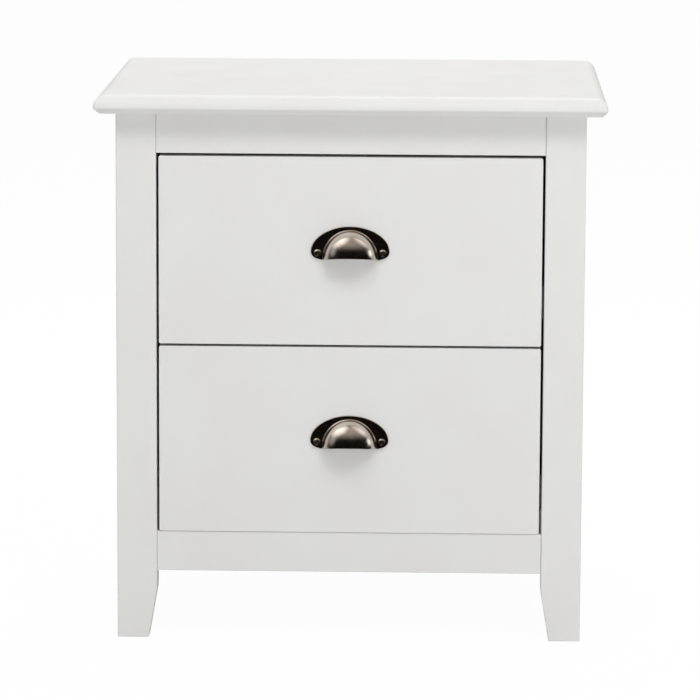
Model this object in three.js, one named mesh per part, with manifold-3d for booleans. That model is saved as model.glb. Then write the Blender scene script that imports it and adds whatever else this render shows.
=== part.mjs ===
// A bedside cabinet with two inset drawers, in white lacquered board, on four legs that taper at
// the foot. The drawers run on white roller runners and are opened by nickel cup pulls.
//
// Millimetres, +Z up, front towards -Y. The origin is on the floor, under the middle of the top.
// "left" is -X and "right" is +X, as seen by someone who stands in front of the cabinet.

import * as THREE from "three";
import { mergeVertices } from "three/addons/utils/BufferGeometryUtils.js";
import Module from "manifold-3d";

const wasm = await Module();
wasm.setup();

// ---------------------------------------------------------------- driving dimensions

const WIDTH = 500;
const DEPTH = 392;
const HEIGHT = 544;
const FIT = 0.3; // gap kept between pieces that touch
const BEYOND = 10; // how far a cutter runs past the piece that it cuts

const TOP = {
  thickness: 18.5,
  overSides: 20,
  overFront: 23,
  overBack: 5,
  roundOver: 12, // radius of the upper edge
  bevelIn: 5.5, // the bevel under the edge, measured inwards
  bevelUp: 5.6, // and upwards
};
const LEG = { width: 39.4, depth: 26, taperHeight: 50, footWidth: 31, footDepth: 20 };
const RAIL = { height: 40, thickness: 18, setBack: 1, lowerZ: 68.2, upperZ: 485.5 };
const STOP_BOARD = { thickness: 18, aboveRail: 22 };
const SIDE_PANEL = { thickness: 15, setIn: 4, tongue: 7, tongueLength: 8 };
const BACK_PANEL = { thickness: 3, rebateWidth: 8, rebateDepth: 5 };
const CORNER_BLOCK = { leg: 45, thickness: 20, screwInset: 14 };
const DRAWER = {
  width: 376,
  height: 185.8,
  thickness: 18,
  gapBelow: 0.4,
  gapBetween: 2.5,
};
const BOX = {
  halfWidth: 177.2,
  aboveFrontEdge: 26,
  height: 138,
  length: 320,
  board: 12,
  backInset: 4,
  bottom: 5,
  bottomUp: 10,
  groove: 6,
};
const RUNNER = {
  halfWidth: 177.5, // from the middle of the cabinet to the drawer member's inner face
  length: 300,
  sheet: 1.2,
  startY: 20, // behind the face of the drawer front
  outerFace: 12.5, // the cabinet member's back, out from the drawer member's inner face
  channelHeight: 32,
  channelLip: 2.2, // where the channel's flanges end
  belowBox: 2,
  memberBottom: 0.8,
  memberTop: 26.2,
  memberLip: 9.5,
  underBox: 12,
};
const ROLLER = {
  radius: 11,
  width: 6,
  chamfer: 0.8,
  axle: 2.5,
  head: 4.5,
  headThickness: 0.8,
  fromEnd: 14,
  cabinetAt: 3.5, // inner face of the roller on the cabinet member
  cabinetZ: 13.7,
  drawerAt: 3,
  drawerZ: 12.5,
};
const BATTEN = { height: 40, inner: 190.3 };
const PULL = {
  width: 77.5,
  height: 32.5,
  cornerX: 9.5,
  cornerZ: 7.5,
  plate: 2,
  domeHalfWidth: 27,
  domeHeight: 28.5,
  projection: 21.7,
  wall: 1.8,
  mouthRise: 3.6, // how much higher the mouth is at its front lip than at the plate
  belowMiddle: 7.6, // from the middle of the drawer front down to the plate's lower edge
  screwUp: 6.5,
  screwCentres: 64,
};
const PULL_SCREW = { head: 3.4, headHeight: 2.2, shank: 1.6, length: 14.6 };
const TOP_SCREW = { head: 4, headHeight: 2.5, shank: 2, length: 31.5 };

// ---------------------------------------------------------------- places worked out from them

const LEG_OUTER = WIDTH / 2 - TOP.overSides;
const LEG_INNER = LEG_OUTER - LEG.width;
const FRONT = -DEPTH / 2 + TOP.overFront;
const BACK = DEPTH / 2 - TOP.overBack;
const UNDER_TOP = HEIGHT - TOP.thickness;
const BODY_TOP = UNDER_TOP - FIT;
const FRONT_LEG_BACK = FRONT + LEG.depth;
const BACK_LEG_FRONT = BACK - LEG.depth;
const RAIL_END = LEG_INNER - FIT;
const FRONT_RAIL = [FRONT + RAIL.setBack, FRONT + RAIL.setBack + RAIL.thickness];
const REBATE_FLOOR = BACK - BACK_PANEL.rebateDepth;
const BACK_RAIL = [REBATE_FLOOR - RAIL.thickness, REBATE_FLOOR];
const LOWER_RAIL_TOP = RAIL.lowerZ + RAIL.height;
const PANEL_OUTER = LEG_OUTER - SIDE_PANEL.setIn;
const PANEL_INNER = PANEL_OUTER - SIDE_PANEL.thickness;
const PANEL_MIDDLE = (PANEL_OUTER + PANEL_INNER) / 2;
const LOWER_DRAWER_Z = LOWER_RAIL_TOP + DRAWER.gapBelow;
const UPPER_DRAWER_Z = LOWER_DRAWER_Z + DRAWER.height + DRAWER.gapBetween;
const BOX_INNER = BOX.halfWidth - BOX.board;
const RUNNER_BASE = BOX.aboveFrontEdge - RUNNER.belowBox;

// ---------------------------------------------------------------- finishes

const finish = (color, roughness, metalness = 0) =>
  new THREE.MeshStandardMaterial({ color, roughness, metalness });

const FINISH = {
  lacquer: finish(0xf3f3f1, 0.35),
  drawerBoard: finish(0xeeeeea, 0.5),
  hardboard: finish(0xe6e4de, 0.6),
  pine: finish(0xd8b98a, 0.65),
  enamel: finish(0xf0f0ec, 0.3),
  nylon: finish(0xe9e7df, 0.45),
  nickel: finish(0x8d8078, 0.22, 1),
  zinc: finish(0xb9bcc0, 0.35, 1),
};

// ---------------------------------------------------------------- shapes

const ROLLER_FACETS = 28;
const SMALL_FACETS = 16; // of a screw, an axle or a hole
const ARC_FACETS = 6; // of the top's moulded edge
const OUTLINE_FACETS = 10; // of each curve in the pull's plate
const DOME_FACETS = 32;

/** A range between two places, in either order. */
const between = (a, b) => [Math.min(a, b), Math.max(a, b)];

/** A box given by its range along each axis. */
function box([x0, x1], [y0, y1], [z0, z1]) {
  const geometry = new THREE.BoxGeometry(x1 - x0, y1 - y0, z1 - z0);
  return geometry.translate((x0 + x1) / 2, (y0 + y1) / 2, (z0 + z1) / 2);
}

/** A range [near, far] out from the middle of the cabinet, on the right (1) or the left (-1). */
const outwards = (side, near, far) => (side > 0 ? [near, far] : [-far, -near]);

/** A closed outline through points. */
const outline = (points) => new THREE.Shape(points.map(([a, b]) => new THREE.Vector2(a, b)));

/** An outline extruded over a length, still along its own Z axis and starting at 0. */
const extruded = (shape, depth, curveSegments) =>
  new THREE.ExtrudeGeometry(shape, { depth, bevelEnabled: false, curveSegments });

/** An outline in Y and Z, extruded along X. */
function alongX(shape, [x0, x1], facets = ARC_FACETS) {
  const turn = new THREE.Matrix4().makeBasis(
    new THREE.Vector3(0, 1, 0),
    new THREE.Vector3(0, 0, 1),
    new THREE.Vector3(1, 0, 0),
  );
  return extruded(shape, x1 - x0, facets).applyMatrix4(turn).translate(x0, 0, 0);
}

/** An outline in X and Z, extruded along Y. */
const alongY = (shape, [y0, y1], facets = ARC_FACETS) =>
  extruded(shape, y1 - y0, facets).rotateX(Math.PI / 2).translate(0, y1, 0);

/** An outline in X and Y, extruded along Z. */
const alongZ = (shape, [z0, z1], facets = ARC_FACETS) =>
  extruded(shape, z1 - z0, facets).translate(0, 0, z0);

/** A round bar along X, centred on y and z. */
function barX([x0, x1], radius, y, z) {
  const bar = new THREE.CylinderGeometry(radius, radius, x1 - x0, SMALL_FACETS);
  return bar.rotateZ(-Math.PI / 2).translate((x0 + x1) / 2, y, z);
}

/** A round bar along Y, centred on x and z. */
function barY([y0, y1], radius, x, z) {
  const bar = new THREE.CylinderGeometry(radius, radius, y1 - y0, SMALL_FACETS);
  return bar.translate(x, (y0 + y1) / 2, z);
}

/** A round bar along Z, centred on x and y. */
function barZ([z0, z1], radius, x, y) {
  const bar = new THREE.CylinderGeometry(radius, radius, z1 - z0, SMALL_FACETS);
  return bar.rotateX(Math.PI / 2).translate(x, y, (z0 + z1) / 2);
}

/** A profile of [radius, height] points, turned about its own Y axis. */
const turned = (profile, segments) =>
  new THREE.LatheGeometry(profile.map(([r, h]) => new THREE.Vector2(r, h)), segments);

/** The solid inside a closed geometry: corners merged, and triangles with no area left out. */
function solid(geometry) {
  const bare = geometry.clone();
  bare.deleteAttribute("normal");
  bare.deleteAttribute("uv");
  const merged = mergeVertices(bare);
  const corners = merged.index.array;
  const kept = [];
  for (let i = 0; i < corners.length; i += 3) {
    const [a, b, c] = corners.slice(i, i + 3);
    if (a !== b && b !== c && c !== a) kept.push(a, b, c);
  }
  const mesh = new wasm.Mesh({
    numProp: 3,
    vertProperties: merged.attributes.position.array,
    triVerts: new Uint32Array(kept),
  });
  return new wasm.Manifold(mesh);
}

/** The geometry of a solid. */
function geometryOf(manifold) {
  const mesh = manifold.getMesh();
  const geometry = new THREE.BufferGeometry();
  geometry.setAttribute("position", new THREE.BufferAttribute(mesh.vertProperties, 3));
  geometry.setIndex(new THREE.BufferAttribute(mesh.triVerts, 1));
  geometry.computeVertexNormals();
  return geometry;
}

const cut = (base, ...tools) =>
  geometryOf(tools.reduce((rest, tool) => rest.subtract(solid(tool)), solid(base)));

const join = (base, ...more) =>
  geometryOf(more.reduce((sum, next) => sum.add(solid(next)), solid(base)));

const common = (one, other) => geometryOf(solid(one).intersect(solid(other)));

/** A named piece in its finish. */
function piece(name, geometry, material) {
  const mesh = new THREE.Mesh(geometry, material);
  mesh.name = name;
  return mesh;
}

function group(...members) {
  const assembly = new THREE.Group();
  assembly.add(...members.flat());
  return assembly;
}

const SIDES = [
  { name: "left", side: -1 },
  { name: "right", side: 1 },
];
const ENDS = [
  { name: "front", inward: 1, outer: FRONT, railFace: FRONT_RAIL[1] + FIT },
  { name: "back", inward: -1, outer: BACK, railFace: BACK_RAIL[0] - FIT },
];

/** Runs make over the four corners of the cabinet. */
const atCorners = (make) => ENDS.flatMap((end) => SIDES.map((place) => make(end, place)));

// ---------------------------------------------------------------- the top

/** Where each corner block's screw stands, seen from above. */
function topScrewAt(end, { side }) {
  const x = side * (RAIL_END - CORNER_BLOCK.screwInset);
  const y = end.railFace + end.inward * CORNER_BLOCK.screwInset;
  return [x, y];
}

/** The top's section from a moulded edge to a far side: a bevel below, a flat and a round-over. */
function mouldedOutline(edge, far) {
  const { roundOver, bevelIn, bevelUp } = TOP;
  const inward = Math.sign(far - edge);
  const arcMiddle = HEIGHT - roundOver;
  const shape = new THREE.Shape();
  shape.moveTo(far, UNDER_TOP);
  shape.lineTo(edge + inward * bevelIn, UNDER_TOP);
  shape.lineTo(edge, UNDER_TOP + bevelUp);
  shape.lineTo(edge, arcMiddle);
  const arcStart = inward > 0 ? Math.PI : 0;
  const clockwise = inward > 0;
  const arcX = edge + inward * roundOver;
  shape.absarc(arcX, arcMiddle, roundOver, arcStart, Math.PI / 2, clockwise);
  shape.lineTo(far, HEIGHT);
  return shape;
}

/** The top: moulded at the front and sides, square at the back, with holes for its screws. */
function topPanel() {
  const half = WIDTH / 2;
  const depthRange = [-DEPTH / 2 - BEYOND, DEPTH / 2];
  const across = common(
    alongY(mouldedOutline(half, -half - BEYOND), depthRange),
    alongY(mouldedOutline(-half, half + BEYOND), depthRange),
  );
  const deep = alongX(mouldedOutline(-DEPTH / 2, DEPTH / 2), [-half - BEYOND, half + BEYOND]);
  const pilotTop = BODY_TOP - CORNER_BLOCK.thickness + TOP_SCREW.length + FIT;
  const pilots = atCorners((end, place) =>
    barZ([UNDER_TOP - BEYOND, pilotTop], TOP_SCREW.shank + FIT, ...topScrewAt(end, place)),
  );
  return piece("top_panel", cut(common(across, deep), ...pilots), FINISH.lacquer);
}

// ---------------------------------------------------------------- the frame

/** A leg: square above, tapered on its two inner faces below, grooved for the side panel. */
function leg(end, place) {
  const across = (out) => place.side * out;
  const deep = (into) => end.outer + end.inward * into;
  const fromFront = outline([
    [across(LEG_OUTER), 0],
    [across(LEG_OUTER), BODY_TOP],
    [across(LEG_INNER), BODY_TOP],
    [across(LEG_INNER), LEG.taperHeight],
    [across(LEG_OUTER - LEG.footWidth), 0],
  ]);
  const fromSide = outline([
    [deep(0), 0],
    [deep(0), BODY_TOP],
    [deep(LEG.depth), BODY_TOP],
    [deep(LEG.depth), LEG.taperHeight],
    [deep(LEG.footDepth), 0],
  ]);
  const blank = common(
    alongY(fromFront, [FRONT - BEYOND, BACK + BEYOND]),
    alongX(fromSide, [-WIDTH / 2, WIDTH / 2]),
  );
  const height = [RAIL.lowerZ - FIT, BODY_TOP + BEYOND];
  const halfGroove = SIDE_PANEL.tongue / 2 + FIT;
  const grooveFloor = deep(LEG.depth - SIDE_PANEL.tongueLength - FIT);
  const groove = box(
    outwards(place.side, PANEL_MIDDLE - halfGroove, PANEL_MIDDLE + halfGroove),
    between(grooveFloor, deep(LEG.depth + BEYOND)),
    height,
  );
  const rebate = box(
    outwards(place.side, LEG_INNER - BEYOND, LEG_INNER + BACK_PANEL.rebateWidth),
    [REBATE_FLOOR, BACK + BEYOND],
    height,
  );
  const cutters = end.name === "back" ? [groove, rebate] : [groove];
  return piece(`leg_${end.name}_${place.name}`, cut(blank, ...cutters), FINISH.lacquer);
}

/** A rail between two legs. */
function rail(name, depthRange, bottom, top) {
  const geometry = box([-RAIL_END, RAIL_END], depthRange, [bottom, top]);
  return piece(name, geometry, FINISH.lacquer);
}

/** A side panel with a tongue at each end, let into the legs. */
function sidePanel({ name, side }) {
  const height = [RAIL.lowerZ, BODY_TOP];
  const halfTongue = SIDE_PANEL.tongue / 2;
  const { tongueLength } = SIDE_PANEL;
  const board = box(
    outwards(side, PANEL_INNER, PANEL_OUTER),
    [FRONT_LEG_BACK + FIT, BACK_LEG_FRONT - FIT],
    height,
  );
  const tongues = box(
    outwards(side, PANEL_MIDDLE - halfTongue, PANEL_MIDDLE + halfTongue),
    [FRONT_LEG_BACK - tongueLength, BACK_LEG_FRONT + tongueLength],
    height,
  );
  return piece(`side_panel_${name}`, join(board, tongues), FINISH.lacquer);
}

function backPanel() {
  const halfWidth = LEG_INNER + BACK_PANEL.rebateWidth - FIT;
  const face = REBATE_FLOOR + FIT;
  const depthRange = [face, face + BACK_PANEL.thickness];
  const geometry = box([-halfWidth, halfWidth], depthRange, [RAIL.lowerZ, BODY_TOP]);
  return piece("back_panel", geometry, FINISH.hardboard);
}

/** A three-cornered block glued behind a rail, with a hole for the screw that holds the top. */
function cornerBlock(end, place) {
  const corner = [place.side * RAIL_END, end.railFace];
  const block = alongZ(
    outline([
      corner,
      [corner[0] - place.side * CORNER_BLOCK.leg, corner[1]],
      [corner[0], corner[1] + end.inward * CORNER_BLOCK.leg],
    ]),
    [BODY_TOP - CORNER_BLOCK.thickness, BODY_TOP],
  );
  const hole = barZ(
    [BODY_TOP - CORNER_BLOCK.thickness - BEYOND, BODY_TOP + BEYOND],
    TOP_SCREW.shank + FIT,
    ...topScrewAt(end, place),
  );
  return piece(`corner_block_${end.name}_${place.name}`, cut(block, hole), FINISH.pine);
}

/** A screw that stands on its own Y axis, point down, with the underside of its head at 0. */
function screw({ head, headHeight, shank, length }) {
  const pointLength = 2 * shank;
  const profile = [
    [0, -length],
    [shank, pointLength - length],
    [shank, 0],
    [head, 0],
    [head, headHeight / 2],
    [head / 2, headHeight],
    [0, headHeight],
  ];
  return turned(profile, SMALL_FACETS);
}

/** A screw that goes up through its corner block into the top. */
function topScrew(end, place) {
  const [x, y] = topScrewAt(end, place);
  const seat = BODY_TOP - CORNER_BLOCK.thickness - FIT;
  const geometry = screw(TOP_SCREW).rotateX(-Math.PI / 2).translate(x, y, seat);
  return piece(`top_screw_${end.name}_${place.name}`, geometry, FINISH.zinc);
}

function frame() {
  return group(
    atCorners(leg),
    rail("top_rail_front", FRONT_RAIL, RAIL.upperZ, BODY_TOP),
    rail("bottom_rail_front", FRONT_RAIL, RAIL.lowerZ, LOWER_RAIL_TOP),
    rail("top_rail_back", BACK_RAIL, RAIL.upperZ, BODY_TOP),
    rail("bottom_rail_back", BACK_RAIL, RAIL.lowerZ, LOWER_RAIL_TOP),
    rail(
      "drawer_stop_board",
      [FRONT_RAIL[1] + FIT, FRONT_RAIL[1] + FIT + STOP_BOARD.thickness],
      RAIL.lowerZ,
      LOWER_RAIL_TOP + STOP_BOARD.aboveRail,
    ),
    SIDES.map(sidePanel),
    backPanel(),
    atCorners(cornerBlock),
    atCorners(topScrew),
  );
}

// ---------------------------------------------------------------- runners
// A runner is two steel members and two nylon rollers. It is drawn from the drawer front's lower
// edge up and from the drawer front's face back. "out" is the distance from the drawer side.

const runnerRange = (side, near, far) =>
  outwards(side, RUNNER.halfWidth + near, RUNNER.halfWidth + far);
const RUNNER_ENDS = [RUNNER.startY, RUNNER.startY + RUNNER.length];
const CABINET_ROLLER_Y = RUNNER.startY + ROLLER.fromEnd;
const DRAWER_ROLLER_Y = RUNNER.startY + RUNNER.length - ROLLER.fromEnd;

/** A steel strip along the runner, given by its ranges outwards and upwards. */
function strip(side, [near, far], [low, high]) {
  const height = [RUNNER_BASE + low, RUNNER_BASE + high];
  return box(runnerRange(side, near, far), RUNNER_ENDS, height);
}

/** A roller with chamfered rims and a bore that clears its axle. */
function roller(name, side, near, y, z) {
  const half = ROLLER.width / 2;
  const { radius, chamfer } = ROLLER;
  const bore = ROLLER.axle + FIT;
  const profile = [
    [bore, -half],
    [radius - chamfer, -half],
    [radius, chamfer - half],
    [radius, half - chamfer],
    [radius - chamfer, half],
    [bore, half],
    [bore, -half],
  ];
  const x = side * (RUNNER.halfWidth + near + half);
  const geometry = turned(profile, ROLLER_FACETS).rotateZ(Math.PI / 2).translate(x, y, RUNNER_BASE + z);
  return piece(name, geometry, FINISH.nylon);
}

/** The channel screwed to the cabinet, with the axle of its front roller. */
function cabinetRunner(level, { name, side }) {
  const { sheet, outerFace, channelHeight, channelLip } = RUNNER;
  const web = outerFace - sheet;
  const headAt = ROLLER.cabinetAt - FIT - ROLLER.headThickness;
  const z = RUNNER_BASE + ROLLER.cabinetZ;
  const geometry = join(
    strip(side, [web, outerFace], [0, channelHeight]),
    strip(side, [channelLip, outerFace], [0, sheet]),
    strip(side, [channelLip, outerFace], [channelHeight - sheet, channelHeight]),
    barX(runnerRange(side, headAt, outerFace), ROLLER.axle, CABINET_ROLLER_Y, z),
    barX(runnerRange(side, headAt, headAt + ROLLER.headThickness), ROLLER.head, CABINET_ROLLER_Y, z),
  );
  return piece(`cabinet_runner_${level}_${name}`, geometry, FINISH.enamel);
}

/** The angle screwed under the drawer side, with the axle of its rear roller. */
function drawerRunner(level, { name, side }) {
  const { sheet, memberBottom, memberTop, memberLip, underBox } = RUNNER;
  const headAt = ROLLER.drawerAt + ROLLER.width + FIT;
  const z = RUNNER_BASE + ROLLER.drawerZ;
  const geometry = join(
    strip(side, [0, sheet], [memberBottom, memberTop]),
    strip(side, [-underBox, sheet], [memberBottom, memberBottom + sheet]),
    strip(side, [0, memberLip], [memberTop - sheet, memberTop]),
    barX(runnerRange(side, 0, headAt), ROLLER.axle, DRAWER_ROLLER_Y, z),
    barX(runnerRange(side, headAt, headAt + ROLLER.headThickness), ROLLER.head, DRAWER_ROLLER_Y, z),
  );
  return piece(`drawer_runner_${level}_${name}`, geometry, FINISH.enamel);
}

/** The batten that fills the space between a side panel and its runner. */
function runnerBatten(level, { name, side }) {
  const middle = RUNNER_BASE + RUNNER.channelHeight / 2;
  const geometry = box(
    outwards(side, BATTEN.inner, PANEL_INNER - FIT),
    [LEG.depth + FIT, BACK_LEG_FRONT - FRONT - FIT],
    [middle - BATTEN.height / 2, middle + BATTEN.height / 2],
  );
  return piece(`runner_batten_${level}_${name}`, geometry, FINISH.pine);
}

/** What one drawer needs in the cabinet: battens, channels and their rollers. */
function runnerSet(level) {
  return SIDES.flatMap((place) => [
    runnerBatten(level, place),
    cabinetRunner(level, place),
    roller(
      `cabinet_roller_${level}_${place.name}`,
      place.side,
      ROLLER.cabinetAt,
      CABINET_ROLLER_Y,
      ROLLER.cabinetZ,
    ),
  ]);
}

// ---------------------------------------------------------------- drawers
// A drawer is drawn from its front's lower edge up and from its front's face back.

const PULL_BASE = DRAWER.height / 2 - PULL.belowMiddle;
const PULL_SCREW_Z = PULL_BASE + PULL.screwUp;
const PLATE_BACK = -FIT;
const PLATE_FACE = PLATE_BACK - PULL.plate;
const BOX_ENDS = [DRAWER.thickness + FIT, DRAWER.thickness + FIT + BOX.length];
const BOX_HEIGHTS = [BOX.aboveFrontEdge, BOX.aboveFrontEdge + BOX.height];
const BOTTOM_HEIGHTS = [
  BOX.aboveFrontEdge + BOX.bottomUp,
  BOX.aboveFrontEdge + BOX.bottomUp + BOX.bottom,
];
const GROOVE_HEIGHTS = [BOTTOM_HEIGHTS[0] - FIT, BOTTOM_HEIGHTS[1] + FIT];
const BOX_BACK = [BOX_ENDS[1] - BOX.backInset - BOX.board, BOX_ENDS[1] - BOX.backInset];

function drawerFront(level) {
  const board = box(
    [-DRAWER.width / 2, DRAWER.width / 2],
    [0, DRAWER.thickness],
    [0, DRAWER.height],
  );
  const groove = box(
    [-BOX_INNER - BOX.groove, BOX_INNER + BOX.groove],
    [DRAWER.thickness - BOX.groove, DRAWER.thickness + BEYOND],
    GROOVE_HEIGHTS,
  );
  const holeEnd = PLATE_FACE - FIT + PULL_SCREW.length + FIT;
  const holes = SIDES.map(({ side }) =>
    barY([-BEYOND, holeEnd], PULL_SCREW.shank + FIT, (side * PULL.screwCentres) / 2, PULL_SCREW_Z),
  );
  return piece(`drawer_front_${level}`, cut(board, groove, ...holes), FINISH.lacquer);
}

function drawerSide(level, { name, side }) {
  const board = box(outwards(side, BOX_INNER, BOX.halfWidth), BOX_ENDS, BOX_HEIGHTS);
  const groove = box(
    outwards(side, BOX_INNER - BEYOND, BOX_INNER + BOX.groove),
    [BOX_ENDS[0] - BEYOND, BOX_ENDS[1] + BEYOND],
    GROOVE_HEIGHTS,
  );
  return piece(`drawer_side_${level}_${name}`, cut(board, groove), FINISH.drawerBoard);
}

function drawerBack(level) {
  const halfWidth = BOX_INNER - FIT;
  const board = box([-halfWidth, halfWidth], BOX_BACK, BOX_HEIGHTS);
  const groove = box(
    [-halfWidth - BEYOND, halfWidth + BEYOND],
    [BOX_BACK[0] - BEYOND, BOX_BACK[0] + BOX.groove],
    GROOVE_HEIGHTS,
  );
  return piece(`drawer_back_${level}`, cut(board, groove), FINISH.drawerBoard);
}

function drawerBottom(level) {
  const inGroove = BOX.groove - FIT;
  const halfWidth = BOX_INNER + inGroove;
  const depthRange = [DRAWER.thickness - inGroove, BOX_BACK[0] + inGroove];
  const geometry = box([-halfWidth, halfWidth], depthRange, BOTTOM_HEIGHTS);
  return piece(`drawer_bottom_${level}`, geometry, FINISH.hardboard);
}

/** Half an ellipsoid that stands out from the plate's back, its middle on the plate's lower edge. */
function dome(halfWidth, projection, height) {
  const ball = new THREE.SphereGeometry(1, DOME_FACETS, DOME_FACETS / 2);
  ball.scale(halfWidth, projection, height).translate(0, PLATE_BACK, PULL_BASE);
  return ball;
}

/** A cup pull: a plate with a hollow half dome, open below, where the fingers go in. */
function cupPull(level) {
  const half = PULL.width / 2;
  const { cornerX, cornerZ, wall } = PULL;
  const widest = PULL_BASE + cornerZ;
  const plateOutline = new THREE.Shape();
  plateOutline.moveTo(cornerX - half, PULL_BASE);
  plateOutline.lineTo(half - cornerX, PULL_BASE);
  plateOutline.absellipse(half - cornerX, widest, cornerX, cornerZ, -Math.PI / 2, 0);
  plateOutline.absellipse(0, widest, half, PULL.height - cornerZ, 0, Math.PI);
  plateOutline.absellipse(cornerX - half, widest, cornerX, cornerZ, Math.PI, 1.5 * Math.PI);
  const plate = alongY(plateOutline, [PLATE_FACE, PLATE_BACK], OUTLINE_FACETS);
  const reach = PLATE_BACK - 2 * PULL.projection;
  const room = box([-half, half], [reach, PLATE_BACK], [PULL_BASE, PULL_BASE + PULL.height]);
  const shell = common(dome(PULL.domeHalfWidth, PULL.projection, PULL.domeHeight), room);
  const hollow = dome(
    PULL.domeHalfWidth - wall,
    PULL.projection - wall,
    PULL.domeHeight - wall,
  );
  const belowMouth = alongX(
    outline([
      [PLATE_BACK, PULL_BASE],
      [PLATE_BACK, PULL_BASE - BEYOND],
      [reach, PULL_BASE - BEYOND],
      [reach, PULL_BASE + 2 * PULL.mouthRise],
    ]),
    [-half, half],
  );
  const holes = SIDES.map(({ side }) =>
    barY(
      [PLATE_FACE - BEYOND, PLATE_BACK + BEYOND],
      PULL_SCREW.shank + FIT,
      (side * PULL.screwCentres) / 2,
      PULL_SCREW_Z,
    ),
  );
  const geometry = cut(join(plate, shell), hollow, belowMouth, ...holes);
  return piece(`cup_pull_${level}`, geometry, FINISH.nickel);
}

function pullScrew(level, { name, side }) {
  const x = (side * PULL.screwCentres) / 2;
  const geometry = screw(PULL_SCREW).rotateX(Math.PI).translate(x, PLATE_FACE - FIT, PULL_SCREW_Z);
  return piece(`pull_screw_${level}_${name}`, geometry, FINISH.nickel);
}

function drawer(level) {
  return [
    drawerFront(level),
    SIDES.map((place) => drawerSide(level, place)),
    drawerBack(level),
    drawerBottom(level),
    SIDES.map((place) => drawerRunner(level, place)),
    SIDES.map(({ name, side }) =>
      roller(`drawer_roller_${level}_${name}`, side, ROLLER.drawerAt, DRAWER_ROLLER_Y, ROLLER.drawerZ),
    ),
    cupPull(level),
    SIDES.map((place) => pullScrew(level, place)),
  ].flat();
}

// ---------------------------------------------------------------- the whole cabinet

const nightstand = group(topPanel(), frame());
const LEVELS = [
  { level: "lower", z: LOWER_DRAWER_Z },
  { level: "upper", z: UPPER_DRAWER_Z },
];
for (const { level, z } of LEVELS) {
  const placed = group(runnerSet(level), drawer(level));
  placed.position.set(0, FRONT, z);
  nightstand.add(placed);
}

export default nightstand;
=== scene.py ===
"""A bedside cabinet with two inset drawers: white lacquered board, nickel cup pulls, roller runners.

Everything is in metres, +Z up, with the cabinet's front towards -Y. "left" is -X and "right" is
+X, as seen by someone who stands in front of it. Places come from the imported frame; the fields of
each class hold the sizes that the frame's boxes can't tell.
"""

import logging
import math
from collections.abc import Mapping, Sequence
from dataclasses import dataclass, field
from enum import Enum
from typing import Any, ClassVar

import bmesh
import bpy
import numpy as np
from mathutils import Matrix, Vector


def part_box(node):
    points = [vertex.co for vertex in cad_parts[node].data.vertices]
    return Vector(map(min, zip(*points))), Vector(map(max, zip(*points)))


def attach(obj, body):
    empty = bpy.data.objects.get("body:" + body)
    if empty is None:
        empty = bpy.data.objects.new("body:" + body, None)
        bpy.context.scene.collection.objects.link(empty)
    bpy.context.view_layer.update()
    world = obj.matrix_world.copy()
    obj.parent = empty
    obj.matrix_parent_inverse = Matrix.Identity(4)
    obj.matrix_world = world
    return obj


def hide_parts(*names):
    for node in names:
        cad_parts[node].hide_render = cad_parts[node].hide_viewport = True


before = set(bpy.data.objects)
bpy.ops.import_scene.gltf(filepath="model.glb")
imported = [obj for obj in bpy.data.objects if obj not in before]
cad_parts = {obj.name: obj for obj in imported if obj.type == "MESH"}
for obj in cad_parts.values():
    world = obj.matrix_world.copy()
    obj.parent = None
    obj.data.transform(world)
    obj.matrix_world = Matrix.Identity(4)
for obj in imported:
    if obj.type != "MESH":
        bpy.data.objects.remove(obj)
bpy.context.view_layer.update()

MM = 0.001
QUARTER_TURN = math.pi / 2
SAME_POINT = 1e-6  # points closer than this are one point
SHARP_EDGE = math.radians(38)
EASED_EDGE = math.radians(30)
CABINET = "cabinet"

Pair = tuple[float, float]
Triple = tuple[float, float, float]
Socket = bpy.types.NodeSocket
Tree = bpy.types.NodeTree

log = logging.getLogger("nightstand")


class Place(Enum):
    """A place on the cabinet that node names have a word for."""

    @property
    def word(self) -> str:
        """The word that node names use."""
        return self.name.lower()


class Side(Place):
    """The two sides of the cabinet, with the sign of x there."""

    LEFT = -1
    RIGHT = 1


class End(Place):
    """The front and the back of the cabinet, with the sign of y there."""

    FRONT = -1
    BACK = 1


class Level(Place):
    """The two drawers, counted upwards."""

    LOWER = 0
    UPPER = 1

    @property
    def body(self) -> str:
        """The moving body that the drawer is."""
        return f"{self.word}_drawer"


class Axis(Enum):
    """The direction that a shape runs along or turns about."""

    X = 0
    Y = 1
    Z = 2

    def placed(self, across: np.ndarray, up: np.ndarray, along: np.ndarray) -> np.ndarray:
        """Points from two coordinates across the axis, in cyclic order, and one along it."""
        points = np.stack(np.broadcast_arrays(across, up, along), axis=-1)
        return np.roll(points, self.value + 1, axis=-1)


CORNERS = [(end, side) for end in End for side in Side]


# ---------------------------------------------------------------- surfaces


@dataclass
class Surface:
    """A mesh being worked out: its points, and blocks of faces that index them."""

    points: np.ndarray
    faces: list[np.ndarray]


def together(*surfaces: Surface) -> Surface:
    """Several surfaces as one."""
    starts = np.cumsum([0] + [len(one.points) for one in surfaces])
    faces = [block + start for one, start in zip(surfaces, starts) for block in one.faces]
    return Surface(np.concatenate([one.points for one in surfaces]), faces)


def grid_faces(rows: int, columns: int, ring: bool = False) -> np.ndarray:
    """The four-sided faces of a grid whose points are numbered row by row.

    The face at row r and column c has the corners (r, c), (r, c+1), (r+1, c+1) and (r+1, c).

    Args:
        rows: How many rows of points there are.
        columns: How many points a row has.
        ring: Whether the last column joins the first.

    Returns:
        One line of four point numbers for each face.
    """
    across = columns if ring else columns - 1
    row, column = np.divmod(np.arange((rows - 1) * across), across)
    after = (column + 1) % columns
    here, above = row * columns, (row + 1) * columns
    return np.stack([here + column, here + after, above + after, above + column], axis=1)


def grid(points: np.ndarray, ring: bool = False) -> Surface:
    """The surface through a grid of points of shape (rows, columns, 3)."""
    rows, columns = points.shape[:2]
    return Surface(points.reshape(-1, 3), [grid_faces(rows, columns, ring)])


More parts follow.
